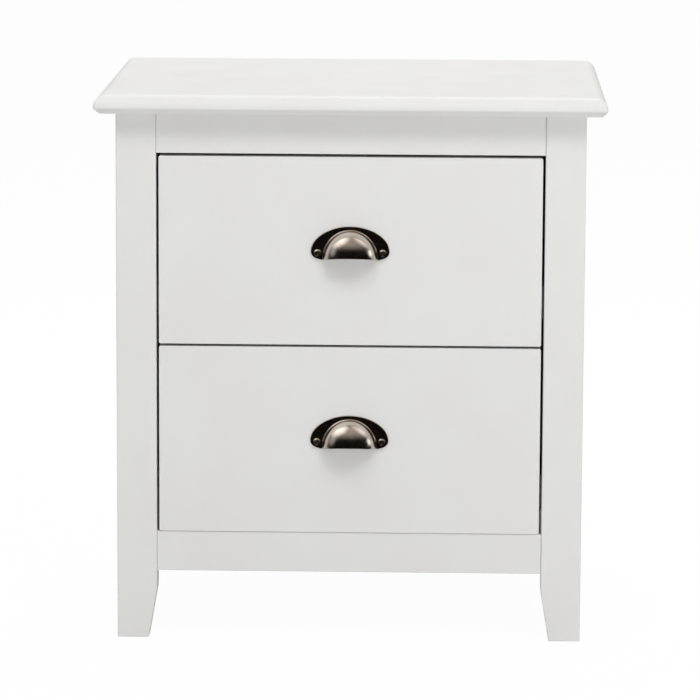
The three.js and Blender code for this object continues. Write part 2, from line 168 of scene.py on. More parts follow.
def loft(rings: np.ndarray) -> Surface:
    """A closed body through closed rings of points, with a flat face over each end ring.

    Args:
        rings: Points of shape (rings, points in a ring, 3).

    Returns:
        The body's surface.
    """
    body = grid(rings, ring=True)
    columns = rings.shape[1]
    first = np.arange(columns)[None, ::-1]
    last = np.arange(columns)[None, :] + (len(rings) - 1) * columns
    return Surface(body.points, body.faces + [first, last])


def unit(vectors: np.ndarray) -> np.ndarray:
    """The vectors at length 1: each over its own length."""
    return vectors / np.maximum(np.linalg.norm(vectors, axis=-1, keepdims=True), SAME_POINT)


def rounded_outline(corners: np.ndarray, ease: np.ndarray, steps: int, closed: bool = True) -> np.ndarray:
    """An outline whose corners are true arcs.

    Each corner P turns into the arc that leaves one side at A and meets the next at B, both a
    distance `ease` from P. With w the cosine of half the turn, the arc is the point
    ((1-t)^2 A + 2 w t (1-t) P + t^2 B) / ((1-t)^2 + 2 w t (1-t) + t^2) as t goes from 0 to 1.

    Args:
        corners: The corners, of shape (..., corners, 2).
        ease: For each corner, how far from it the arc begins.
        steps: How many pieces each arc has.
        closed: Whether the last corner joins the first. An open outline keeps its end points.

    Returns:
        The points of the outline, of shape (..., corners * (steps + 1), 2).
    """
    before = unit(np.roll(corners, 1, axis=-2) - corners)
    after = unit(np.roll(corners, -1, axis=-2) - corners)
    weight = np.sqrt(np.clip((1 - (before * after).sum(-1)) / 2, 0, 1))[..., None, None]
    length = np.asarray(ease, float)[:, None].copy()
    if not closed:
        length[[0, -1]] = 0
    start, end = corners + before * length, corners + after * length
    t = np.linspace(0, 1, steps + 1)[:, None]
    blend = (1 - t) ** 2, 2 * weight * t * (1 - t), t**2
    arc = blend[0] * start[..., None, :] + blend[1] * corners[..., None, :] + blend[2] * end[..., None, :]
    arc = arc / (blend[0] + blend[1] + blend[2])
    return arc.reshape(*corners.shape[:-2], -1, 2)


def carried(axis: Axis, stations: Sequence[float], outlines: np.ndarray) -> Surface:
    """A closed body through outlines that stand across an axis, one at each station.

    Args:
        axis: The axis that the body runs along.
        stations: Where each outline stands on it.
        outlines: Points of shape (stations, points, 2), or (points, 2) for the same one at each.

    Returns:
        The body's surface.
    """
    along = np.asarray(stations, float)[:, None]
    shape = np.broadcast_to(outlines, (len(along), *outlines.shape[-2:]))
    return loft(axis.placed(shape[..., 0], shape[..., 1], along))


def rectangle(low: Sequence[float], high: Sequence[float]) -> np.ndarray:
    """The four corners between two opposite ones."""
    return np.array([[low[0], low[1]], [high[0], low[1]], [high[0], high[1]], [low[0], high[1]]], float)


def turned(
    axis: Axis, centre: Sequence[float], profile: np.ndarray, columns: int, closed: bool = False
) -> Surface:
    """A shape turned about an axis: each profile point (r, s) goes round to r cos a, r sin a, s.

    Args:
        axis: The axis that it is turned about.
        centre: Where the profile's own zero stands.
        profile: Points (distance from the axis, distance along it), of shape (points, 2).
        columns: How many steps one turn has.
        closed: Whether the profile's last point joins its first, as on a ring.

    Returns:
        The surface. A profile that starts and ends on the axis gives a closed body.
    """
    path = np.concatenate([profile, profile[:1]]) if closed else profile
    angle = np.linspace(0, 2 * math.pi, columns, endpoint=False)[None, :]
    radius, along = path[:, :1], path[:, 1:]
    points = axis.placed(radius * np.cos(angle), radius * np.sin(angle), along)
    return grid(points + np.asarray(centre, float), ring=True)


def pan_head(radius: float, height: float, steps: int = 6) -> np.ndarray:
    """The profile of a plain domed head, closed under its seat: radius cos^0.6 a, height sin a."""
    angle = np.linspace(0, QUARTER_TURN, steps + 1)
    dome = np.stack([radius * np.cos(angle) ** 0.6, height * np.sin(angle)], axis=1)
    return np.concatenate([[[0, 0]], dome])


def smooth_step(value: np.ndarray) -> np.ndarray:
    """A ramp from 0 to 1 that starts and ends level: 3 v^2 - 2 v^3, v kept between 0 and 1."""
    kept = np.clip(value, 0, 1)
    return kept * kept * (3 - 2 * kept)


# ---------------------------------------------------------------- nodes and finishes

BANDS = 3.2  # a wave texture at scale 1 has about this many bands in a metre


def linear(code: str) -> tuple[float, float, float, float]:
    """An sRGB hex colour such as "F2F1EE" as linear red, green, blue and alpha."""
    channels = np.array([int(code[place : place + 2], 16) for place in (0, 2, 4)]) / 255
    curve = np.where(channels <= 0.04045, channels / 12.92, ((channels + 0.055) / 1.055) ** 2.4)
    return (*curve.tolist(), 1.0)


def add_node(
    tree: Tree, kind: str, inputs: Mapping[str | int, Any] | None = None, **settings: Any
) -> bpy.types.Node:
    """Adds one node with its settings and its inputs.

    Args:
        tree: The node tree that it goes in.
        kind: The node's type name.
        inputs: For each input by name or number, a socket to link or a value to set.
        **settings: The node's own properties.

    Returns:
        The new node.
    """
    node = tree.nodes.new(kind)
    for name, value in settings.items():
        setattr(node, name, value)
    for key, value in (inputs or {}).items():
        if isinstance(value, Socket):
            tree.links.new(value, node.inputs[key])
        else:
            node.inputs[key].default_value = value
    return node


def per_metre(size_mm: float) -> float:
    """A texture's scale for features of that size in millimetres."""
    return 1 / (size_mm * MM)


@dataclass(frozen=True)
class Clouds:
    """A cloudy pattern in the piece's own coordinates, with features of a real size."""

    size_mm: float
    detail: float
    finer: Triple = (1, 1, 1)  # how much smaller they are along x, y and z

    def strength(self, tree: Tree) -> Socket:
        """Draws the pattern in a tree and gives its strength, from 0 to 1."""
        place = add_node(tree, "ShaderNodeTexCoord").outputs["Object"]
        scaled = add_node(tree, "ShaderNodeMapping", {"Vector": place, "Scale": self.finer}).outputs["Vector"]
        size = {"Vector": scaled, "Scale": per_metre(self.size_mm), "Detail": self.detail}
        return add_node(tree, "ShaderNodeTexNoise", size).outputs["Fac"]


@dataclass(frozen=True)
class Finish:
    """What a surface is made of. A finish builds its material once and shares it.

    Nearly all of a cloudy pattern lies between 0.3 and 0.7, so that range is spread over the two
    colours and the two roughnesses.
    """

    slot: str
    material_name: str
    colour: str
    tone: str
    roughness: Pair
    drift: Clouds  # where the colour turns to the tone
    gloss: Clouds | None = None  # where the surface is duller, if not where the tone shows
    relief: Clouds | None = None
    relief_mm: float = 0.0
    drift_range: Pair = (0.3, 0.7)
    gloss_range: Pair = (0.3, 0.7)
    constants: tuple[tuple[str, float], ...] = ()  # inputs that are the same all over
    made: ClassVar[dict[str, bpy.types.Material]] = {}

    def material(self) -> bpy.types.Material:
        """The finish's material, built the first time that it is asked for.

        Returns:
            The material, which every piece of the finish shares.
        """
        if self.material_name not in self.made:
            material = bpy.data.materials.new(self.material_name)
            material.use_nodes = True
            self.paint(material.node_tree, material.node_tree.nodes["Principled BSDF"].inputs)
            self.made[self.material_name] = material
        return self.made[self.material_name]

    def paint(self, tree: Tree, shader: Mapping[str, Socket]) -> None:
        """Sets the shader's inputs.

        Args:
            tree: The material's node tree.
            shader: The shader's inputs by name.
        """
        drift, dull = self.patterns(tree)
        shown = {"Value": drift, "From Min": self.drift_range[0], "From Max": self.drift_range[1]}
        share = add_node(tree, "ShaderNodeMapRange", shown).outputs["Result"]
        colours = {0: share, 6: linear(self.colour), 7: linear(self.tone)}
        mixed = add_node(tree, "ShaderNodeMix", colours, data_type="RGBA").outputs[2]
        tree.links.new(mixed, shader["Base Color"])
        spread = {"Value": dull, "From Min": self.gloss_range[0], "From Max": self.gloss_range[1]}
        spread |= {"To Min": self.roughness[0], "To Max": self.roughness[1]}
        tree.links.new(add_node(tree, "ShaderNodeMapRange", spread).outputs["Result"], shader["Roughness"])
        normal = self.normal(tree)
        if normal:
            tree.links.new(normal, shader["Normal"])
        for name, value in self.constants:
            shader[name].default_value = value

    def patterns(self, tree: Tree) -> tuple[Socket, Socket]:
        """The strengths that drive the tone and the roughness."""
        drift = self.drift.strength(tree)
        return drift, self.gloss.strength(tree) if self.gloss else drift

    def normal(self, tree: Tree) -> Socket | None:
        """The normal, tilted by the relief: its heights from 0 to 1 stand for relief_mm."""
        if not self.relief:
            return None
        height = {"Height": self.relief.strength(tree), "Distance": self.relief_mm * MM, "Strength": 1.0}
        return add_node(tree, "ShaderNodeBump", height).outputs["Normal"]


@dataclass(frozen=True)
class SatinLacquer(Finish):
    """Sprayed satin lacquer on smooth fibreboard and beech: an even white with a soft highlight.

    The spray leaves a faint orange peel about 2 mm across, and the film is a trace glossier where
    it lies thicker. Acid-curing lacquer has an IOR of 1.5.
    """

    slot: str = "white_lacquer"
    material_name: str = "satin_lacquer_sprayed"
    colour: str = "F0F0EF"
    tone: str = "EEEDEC"
    roughness: Pair = (0.34, 0.42)
    drift: Clouds = Clouds(90, 2)
    gloss: Clouds = Clouds(35, 3)
    relief: Clouds = Clouds(2.2, 1)
    relief_mm: float = 0.006
    constants: tuple[tuple[str, float], ...] = (("IOR", 1.5),)


@dataclass(frozen=True)
class NickelPlate(Finish):
    """Bright satin nickel on a pressed shell: a warm grey mirror, slightly blurred.

    The shell was polished with a soft mop before plating, which leaves hairlines about 0.25 mm
    apart and 2.5 mm long that run across the pull.
    """

    slot: str = "satin_nickel"
    material_name: str = "nickel_plate_satin"
    colour: str = "D6CCC2"
    tone: str = "C8BCB0"
    roughness: Pair = (0.17, 0.25)
    drift: Clouds = Clouds(9, 2)
    gloss: Clouds = Clouds(5, 3)
    relief: Clouds = Clouds(2.5, 2, (1, 10, 10))
    relief_mm: float = 0.0015
    constants: tuple[tuple[str, float], ...] = (("Metallic", 1.0),)


@dataclass(frozen=True)
class ZincPlate(Finish):
    """Bright zinc plate on a steel screw: bluish grey, cloudy from the passivation bath."""

    slot: str = "zinc_screw"
    material_name: str = "zinc_plate_passivated"
    colour: str = "C4C8CC"
    tone: str = "A9AFB8"
    roughness: Pair = (0.22, 0.4)
    drift: Clouds = Clouds(1.5, 2)
    constants: tuple[tuple[str, float], ...] = (("Metallic", 1.0),)


@dataclass(frozen=True)
class FoilBoard(Finish):
    """White melamine foil wrapped on chipboard: a fine pressed pore and a dull sheen.

    The pores are pressed lines about 0.4 mm apart and 10 mm long that follow the board. They are
    drawn 0.8 mm apart, so that they show.
    """

    slot: str = "drawer_board"
    material_name: str = "melamine_foil_on_chipboard"
    colour: str = "EDECE8"
    tone: str = "E6E4DF"
    roughness: Pair = (0.42, 0.56)
    drift: Clouds = Clouds(60, 2)
    gloss: Clouds = Clouds(9.6, 3, (12, 1, 12))
    relief: Clouds = Clouds(9.6, 3, (12, 1, 12))
    relief_mm: float = 0.03


@dataclass(frozen=True)
class FacedFibreboard(Finish):
    """Thin fibreboard with a printed white face: flat, slightly mottled by the fibres below."""

    slot: str = "drawer_bottom_board"
    material_name: str = "fibreboard_white_faced"
    colour: str = "EAE9E4"
    tone: str = "E5E3DD"
    roughness: Pair = (0.5, 0.62)
    drift: Clouds = Clouds(6, 4)
    relief: Clouds = Clouds(1.2, 2)
    relief_mm: float = 0.01


@dataclass(frozen=True)
class Hardboard(Finish):
    """Painted hardboard: a white coat over the pressed screen pattern of its rough face.

    The press screen leaves a mesh about 1.6 mm apart.
    """

    slot: str = "back_hardboard"
    material_name: str = "hardboard_painted_white"
    colour: str = "E9E7E1"
    tone: str = "E4E1DB"
    roughness: Pair = (0.55, 0.7)
    drift: Clouds = Clouds(25, 4)
    relief_mm: float = 0.05
    screen_mm: float = 1.6

    def normal(self, tree: Tree) -> Socket:
        """The normal, tilted by the screen's upright wires and then by its level ones.

        Args:
            tree: The material's node tree.

        Returns:
            The socket with the normal.
        """
        place = add_node(tree, "ShaderNodeTexCoord").outputs["Object"]
        tilted = {}
        for direction in "XZ":
            wave = {"Vector": place, "Scale": per_metre(self.screen_mm) / BANDS}
            wires = add_node(tree, "ShaderNodeTexWave", wave, bands_direction=direction).outputs["Fac"]
            height = {"Height": wires, "Distance": self.relief_mm * MM, "Strength": 1.0, **tilted}
            tilted = {"Normal": add_node(tree, "ShaderNodeBump", height).outputs["Normal"]}
        return tilted["Normal"]


@dataclass(frozen=True)
class PlanedPine(Finish):
    """Planed, unfinished pine: pale yellow early wood, with darker late wood about 9 mm apart.

    The fibres run along y, as do the growth rings' axes. IOR is left at the shader's own 1.5.
    """

    slot: str = "pine"
    material_name: str = "pine_planed"
    colour: str = "E6CFA4"
    tone: str = "C69B63"
    roughness: Pair = (0.55, 0.72)
    drift: Clouds = Clouds(6, 3, (8, 0.5, 8))
    relief: Clouds = Clouds(6, 3, (8, 0.5, 8))
    relief_mm: float = 0.04
    drift_range: Pair = (0.1, 0.7)
    ring_mm: float = 9.14

    def patterns(self, tree: Tree) -> tuple[Socket, Socket]:
        """Growth rings bent by noise and broken by the fibres drive the tone, the fibres the gloss.

        Args:
            tree: The material's node tree.

        Returns:
            The sockets with the two strengths.
        """
        place = add_node(tree, "ShaderNodeTexCoord").outputs["Object"]
        drawn_out = add_node(tree, "ShaderNodeMapping", {"Vector": place, "Scale": (1, 0.06, 1)}).outputs[0]
        rings = {"Vector": drawn_out, "Scale": per_metre(self.ring_mm) / BANDS}
        rings |= {"Distortion": 3.0, "Detail": 3.0, "Detail Scale": 1.4}
        growth = add_node(tree, "ShaderNodeTexWave", rings, wave_type="RINGS", rings_direction="Y")
        fibre = self.drift.strength(tree)
        both = {0: growth.outputs["Fac"], 1: fibre}
        return add_node(tree, "ShaderNodeMath", both, operation="MULTIPLY").outputs[0], fibre


@dataclass(frozen=True)
class EpoxyEnamel(Finish):
    """White epoxy powder coat on pressed steel: even and satin, with a 1.2 mm orange peel."""

    slot: str = "runner_enamel"
    material_name: str = "epoxy_powder_coat"
    colour: str = "EEEEEA"
    tone: str = "E4E3DD"
    roughness: Pair = (0.28, 0.38)
    drift: Clouds = Clouds(20, 2)
    relief: Clouds = Clouds(1.2, 1)
    relief_mm: float = 0.012


@dataclass(frozen=True)
class MouldedNylon(Finish):
    """Natural moulded nylon: milky, with a trace of light inside it. IOR 1.53."""

    slot: str = "roller_nylon"
    material_name: str = "nylon_moulded"
    colour: str = "E4E1D6"
    tone: str = "D8D4C6"
    roughness: Pair = (0.38, 0.5)
    drift: Clouds = Clouds(8, 2)
    gloss: Clouds = Clouds(2, 2)
    constants: tuple[tuple[str, float], ...] = (
        ("IOR", 1.53),
        ("Subsurface Weight", 0.15),
        ("Subsurface Scale", 1.5 * MM),
    )


LACQUER = SatinLacquer()
NICKEL = NickelPlate()
ZINC = ZincPlate()
FOIL = FoilBoard()
FIBREBOARD = FacedFibreboard()
HARDBOARD = Hardboard()
PINE = PlanedPine()
ENAMEL = EpoxyEnamel()
NYLON = MouldedNylon()


# ---------------------------------------------------------------- pieces


def put_in_scene(name: str, data: bpy.types.ID) -> bpy.types.Object:
    """A new object in the scene, with the mesh, lamp or camera that it shows."""
    thing = bpy.data.objects.new(name, data)
    bpy.context.scene.collection.objects.link(thing)
    return thing


def merge_and_face_out(mesh: bpy.types.Mesh) -> None:
    """Makes points that lie together one point, and turns every face outwards.

    Args:
        mesh: The mesh, which is changed.
    """
    work = bmesh.new()
    work.from_mesh(mesh)
    bmesh.ops.remove_doubles(work, verts=work.verts, dist=SAME_POINT)
    bmesh.ops.dissolve_degenerate(work, dist=SAME_POINT, edges=work.edges)
    bmesh.ops.recalc_face_normals(work, faces=work.faces)
    work.to_mesh(mesh)
    work.free()


def ease_edges(piece: bpy.types.Object, width: float, segments: int) -> None:
    """Rounds every sharp edge of a piece.

    Args:
        piece: The piece.
        width: The radius of the rounding, in metres.
        segments: How many faces cross it.
    """
    if width > 0:
        bevel = piece.modifiers.new("eased_edges", "BEVEL")
        bevel.width = width
        bevel.segments = segments
        bevel.limit_method = "ANGLE"
        bevel.angle_limit = EASED_EDGE
        bevel.harden_normals = False
    shading = piece.modifiers.new("level_faces", "WEIGHTED_NORMAL")
    shading.keep_sharp = True


def make_piece(
    name: str,
    surface: Surface,
    finish: Finish,
    body: str,
    nodes: Sequence[str] = (),
    ease: float = 0.0,
    segments: int = 3,
) -> None:
    """Turns a surface into a finished piece.

    Args:
        name: The piece's name.
        surface: Its surface, in place.
        finish: What it is made of.
        body: The body that it rides on.
        nodes: The CAD nodes that it stands for.
        ease: The radius of its rounded edges.
        segments: How many faces cross one.
    """
    mesh = bpy.data.meshes.new(name)
    faces = [face for block in surface.faces for face in block.tolist()]
    mesh.from_pydata(surface.points.tolist(), [], faces)
    merge_and_face_out(mesh)
    mesh.shade_smooth()
    mesh.set_sharp_from_angle(angle=SHARP_EDGE)
    mesh.materials.append(finish.material())
    piece = put_in_scene(name, mesh)
    ease_edges(piece, ease, segments)
    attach(piece, body)
    if nodes:
        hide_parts(*nodes)
    log.info("%s: %d faces, %s, on %s", name, len(mesh.polygons), finish.material_name, body)


def dress_node(node: str, finish: Finish, ease: float) -> None:
    """Gives a CAD node its finish, and eases its edges.

    Args:
        node: The node's name.
        finish: What it is made of.
        ease: The radius that its sharp edges are rounded to.
    """
    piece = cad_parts[node]
    piece.data.materials.clear()
    piece.data.materials.append(finish.material())
    weld = piece.modifiers.new("weld", "WELD")
    weld.merge_threshold = SAME_POINT
    ease_edges(piece, ease, 2)
    log.info("%s: kept, %s", node, finish.material_name)


def corners(node: str) -> np.ndarray:
    """A node's lowest and highest corners, of shape (2, 3)."""
    return np.array(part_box(node), float)


def reach(node: str) -> Pair:
    """How near to the cabinet's middle, across it, a node comes, and how far out it goes."""
    near, far = sorted(abs(corners(node)[:, 0]))
    return near, far


# ---------------------------------------------------------------- screws


@dataclass(frozen=True)
class Screw:
    """A screw's head with a cross recess, and its shank."""

    radius: float
    height: float
    recess: float
    rows: int = 22
    columns: int = 96
    crown: float = 2.6  # the power that the dome's fall goes with
    fall: float = 0.55  # how much lower the dome's rim is, as a part of the height
    arm: float = 0.62  # how far an arm of the cross reaches, as a part of the radius
    arm_width: float = 0.17
    arm_slope: float = 0.4  # how much of an arm its sloping sides take
    tuck: float = 0.2  # the angle that draws the head's side in at its foot
    pitch: float = 1.3 * MM
    thread: float = 0.14  # the thread's depth and its point's length, as parts of its radius
    point: float = 2.2
    side_rows: int = 5
    thread_rows: int = 6  # for each turn of the thread
    shank_columns: int = 20

    def head(self, axis: Axis, centre: Sequence[float], outwards: int) -> Surface:
        """The head: a low dome, sunk where the cross is.

        At a distance r from the middle the dome stands height (1 - fall (r/R)^crown). The cross
        takes away up to `recess`, fading out towards the ends and sides of its arms.

        Args:
            axis: The screw's axis.
            centre: The middle of the head's seat.
            outwards: The sign of the axis where the head's face looks.

        Returns:
            The head's closed surface.
        """
        angle = np.linspace(0, 2 * math.pi, self.columns, endpoint=False)[None, :]
        share = np.linspace(0, 1, self.rows)[:, None]
        across, up = share * np.cos(angle), share * np.sin(angle)
        arm_side = np.minimum(np.abs(across), np.abs(up)) / self.arm_width
        depth = smooth_step((1 - np.maximum(arm_side, share / self.arm)) / self.arm_slope) * self.recess
        face = self.height * (1 - self.fall * share**self.crown) - depth
        down = np.linspace(0, 1, self.side_rows + 1)[1:, None]
        side = self.radius * np.cos(down * self.tuck)
        shoulder = (1 - self.fall) * (1 - down) * self.height
        top = axis.placed(across * self.radius, up * self.radius, face * outwards)
        edge = axis.placed(side * np.cos(angle), side * np.sin(angle), shoulder * outwards)
        middle = axis.placed(0 * angle, 0 * angle, 0 * angle)
        return grid(np.concatenate([top, edge, middle]) + np.asarray(centre, float), ring=True)

    def heads(self, axis: Axis, centres: Sequence[Sequence[float]], outwards: int) -> Surface:
        """Heads alone, with one at each centre, as one surface."""
        return together(*[self.head(axis, centre, outwards) for centre in centres])

    def shank(self, axis: Axis, centre: Sequence[float], radius: float, length: float) -> Surface:
        """The shank and its point, away from a head that looks towards the axis's low end.

        At a depth s the thread's radius is R (1 - h + h cos(2 pi s / pitch)), with h its depth.

        Args:
            axis: The screw's axis.
            centre: The middle of the head's seat.
            radius: The thread's outer radius.
            length: From the seat to the point.

        Returns:
            The shank's closed surface.
        """
        depth = np.linspace(0, length, int(length / self.pitch * self.thread_rows))
        thread = radius * (1 - self.thread + self.thread * np.cos(2 * math.pi * depth / self.pitch))
        taper = np.clip((length - depth) / (self.point * radius), 0, 1)
        profile = np.concatenate([[[0, 0]], np.stack([thread * taper, depth], axis=1)])
        return turned(axis, centre, profile, self.shank_columns)


def screw_for(node: str, axis: Axis, height: float, recess: float, shank_radius: float) -> Surface:
    """A whole screw in the place of a node, with its head at the axis's low end.

    Args:
        node: The screw's node.
        axis: The screw's axis.
        height: The head's height.
        recess: The cross's depth.
        shank_radius: The thread's outer radius.

    Returns:
        The head and the shank as one surface.
    """
    low, high = corners(node)
    screw = Screw((high[0] - low[0]) / 2, height, recess)
    seat = (low + high) / 2
    seat[axis.value] = low[axis.value] + height
    length = high[axis.value] - seat[axis.value]
    return together(screw.head(axis, seat, -1), screw.shank(axis, seat, shank_radius, length))


# ---------------------------------------------------------------- the top and the frame


@dataclass
class TopBoard:
    """The top: moulded along its front and sides, square at the back."""

    round_over: float = 12 * MM
    bevel_in: float = 5.5 * MM
    bevel_up: float = 5.6 * MM
    eased: float = 0.8 * MM
    plan_corner: float = 2.5 * MM
    least_corner: float = 0.4 * MM
    flat_below: float = 3 * MM  # how far the moulding's profile runs in over the lower face
    flat_above: float = 2 * MM  # and over the upper face
    back_lean: float = 0.1  # the inset at the back, as a part of that at the front
    arc_steps: int = 12
    corner_steps: int = 6

    def build(self) -> None:
        """Lofts the top through its plan, drawn smaller by the moulding's inset at each height."""
        low, high = corners("top_panel")
        thickness = high[2] - low[2]
        below = [[self.bevel_in + self.flat_below, 0], [self.bevel_in, 0], [0, self.bevel_up]]
        above = [[0, thickness], [self.round_over + self.flat_above, thickness]]
        ease = np.array([0, self.eased, self.eased, self.round_over, 0])
        inset, height = rounded_outline(np.array(below + above), ease, self.arc_steps, closed=False).T
        left, right = low[0] + inset, high[0] - inset
        front, back = low[1] + inset, high[1] - inset * self.back_lean
        across = np.stack([left, right, right, left], axis=1)
        plan = np.stack([across, np.stack([front, front, back, back], axis=1)], axis=2)
        radius = np.maximum(self.plan_corner - inset, self.least_corner)
        outlines = [rounded_outline(one, np.full(4, r), self.corner_steps) for one, r in zip(plan, radius)]
        surface = carried(Axis.Z, low[2] + height, np.stack(outlines))
        make_piece("top_board", surface, LACQUER, CABINET, ["top_panel"])


@dataclass
class Legs:
    """Four legs, tapered at the foot on their two inner faces and grooved for the side panels."""

    taper_height: float = 50 * MM
    foot_width: float = 31 * MM
    foot_depth: float = 20 * MM
    panel_middle: float = 11.5 * MM  # the side panel's middle, in from the leg's outer side
    groove_width: float = 7.6 * MM
    groove_depth: float = 8.3 * MM
    groove_start: float = 67.9 * MM
    rebate_width: float = 8 * MM
    rebate_depth: float = 5 * MM
    arris: float = 1.1 * MM

    def outline(self, width: float, depth: float, cut: bool, end: End) -> np.ndarray:
        """The leg's section, drawn from its outer corner inwards.

        Args:
            width: Across the cabinet.
            depth: From the outer face inwards.
            cut: Whether the groove, and on a back leg the rebate, is cut at this height.
            end: Which end of the cabinet the leg is at.

        Returns:
            Points (inwards from the side, inwards from the face).
        """
        near, far = self.panel_middle - self.groove_width / 2, self.panel_middle + self.groove_width / 2
        floor = depth - (self.groove_depth if cut else 0)
        rebated = cut and end is End.BACK
        step_x = width - (self.rebate_width if rebated else 0)
        step_y = self.rebate_depth if rebated else 0
        outer = [[0, 0], [step_x, 0], [step_x, step_y], [width, step_y]]
        inner = [[width, depth], [far, depth], [far, floor], [near, floor], [near, depth], [0, depth]]
        return np.array(outer + inner)

    def build(self) -> None:
        """Carries each leg's section up from the foot, past the taper to the top."""
        for end, side in CORNERS:
            node = f"leg_{end.word}_{side.word}"
            low, high = corners(node)
            width, depth = (high - low)[:2]
            plain = self.outline(width, depth, False, end)
            foot = plain * [self.foot_width / width, self.foot_depth / depth]
            grooved = self.outline(width, depth, True, end)
            outward = np.array([side.value, end.value])
            outer_corner = np.where(outward > 0, high[:2], low[:2])
            placed = outer_corner - np.stack([foot, plain, plain, grooved, grooved]) * outward
            heights = [low[2], self.taper_height, self.groove_start, self.groove_start, high[2]]
            surface = carried(Axis.Z, heights, placed)
            make_piece(f"tapered_{node}", surface, LACQUER, CABINET, [node], self.arris)


@dataclass
class Rails:
    """The rails between the legs and the drawers' stop board."""

    arris: float = 0.6 * MM
    end_arris: float = 0.25 * MM
    arris_steps: int = 3

    def build(self) -> None:
        """Carries each rail's eased section from end to end."""
        rails = [f"{height}_rail_{end.word}" for end in End for height in ("top", "bottom")]
        for node in [*rails, "drawer_stop_board"]:
            low, high = corners(node)
            section = rounded_outline(rectangle(low[1:], high[1:]), np.full(4, self.arris), self.arris_steps)
            surface = carried(Axis.X, [low[0], high[0]], section)
            make_piece(f"lacquered_{node}", surface, LACQUER, CABINET, [node], self.end_arris, 2)


@dataclass
class SidePanels:
    """The side panels, each with a tongue let into the legs in front and behind."""

    thickness: float = 15 * MM
    tongue: float = 7 * MM
    tongue_length: float = 8.3 * MM
    arris: float = 0.5 * MM

    def build(self) -> None:
        """Carries each panel's section back, narrow in the tongues and full between them."""
        half = np.repeat([self.tongue, self.thickness, self.tongue], 2) / 2
        for side in Side:
            node = f"side_panel_{side.word}"
            low, high = corners(node)
            middle = (low[0] + high[0]) / 2
            shoulders = low[1] + self.tongue_length, high[1] - self.tongue_length
            stations = np.repeat([low[1], *shoulders, high[1]], [1, 2, 2, 1])
            outlines = np.stack([rectangle((low[2], middle - h), (high[2], middle + h)) for h in half])
            surface = carried(Axis.Y, stations, outlines)
            make_piece(f"tongued_{node}", surface, LACQUER, CABINET, [node], self.arris, 2)


@dataclass
class BackPanel:
    """The hardboard back, nailed into the legs' rebates and the back rails."""

    arris: float = 0.3 * MM
    nail_radius: float = 1.6 * MM
    nail_height: float = 0.35 * MM
    side_in: float = 4 * MM  # how far in from a side edge its row of nails stands
    end_in: float = 12 * MM  # how far that row stops short of the panel's ends
    rail_in: float = 20 * MM  # how far in from an end the nails into a rail stand
    nails_up: int = 6
    nails_across: int = 4
    head_rows: int = 3
    head_columns: int = 14

    def build(self) -> None:
        """Dresses the panel and drives nails round its edge."""
        dress_node("back_panel", HARDBOARD, self.arris)
        low, high = corners("back_panel")
        up = np.linspace(low[2] + self.end_in, high[2] - self.end_in, self.nails_up)
        across = np.linspace(low[0], high[0], self.nails_across + 2)[1:-1]
        sides = [(x, z) for x in (low[0] + self.side_in, high[0] - self.side_in) for z in up]
        rails = [(x, z) for z in (low[2] + self.rail_in, high[2] - self.rail_in) for x in across]
        profile = pan_head(self.nail_radius, self.nail_height, self.head_rows)
        heads = [turned(Axis.Y, (x, high[1], z), profile, self.head_columns) for x, z in sides + rails]
        make_piece("back_panel_nails", together(*heads), ZINC, CABINET)


@dataclass
class TopScrews:
    """The corner blocks, and the screws that go up through them and hold the top."""

    block_arris: float = 0.5 * MM
    head_height: float = 2.5 * MM
    recess: float = 1.3 * MM
    shank_radius: float = 2 * MM

    def build(self) -> None:
        """Dresses each block and turns each screw in the place of its node."""
        for end, side in CORNERS:
            dress_node(f"corner_block_{end.word}_{side.word}", PINE, self.block_arris)
            node = f"top_screw_{end.word}_{side.word}"
            surface = screw_for(node, Axis.Z, self.head_height, self.recess, self.shank_radius)
            make_piece(f"cross_{node}", surface, ZINC, CABINET, [node])


# ---------------------------------------------------------------- runners and rollers


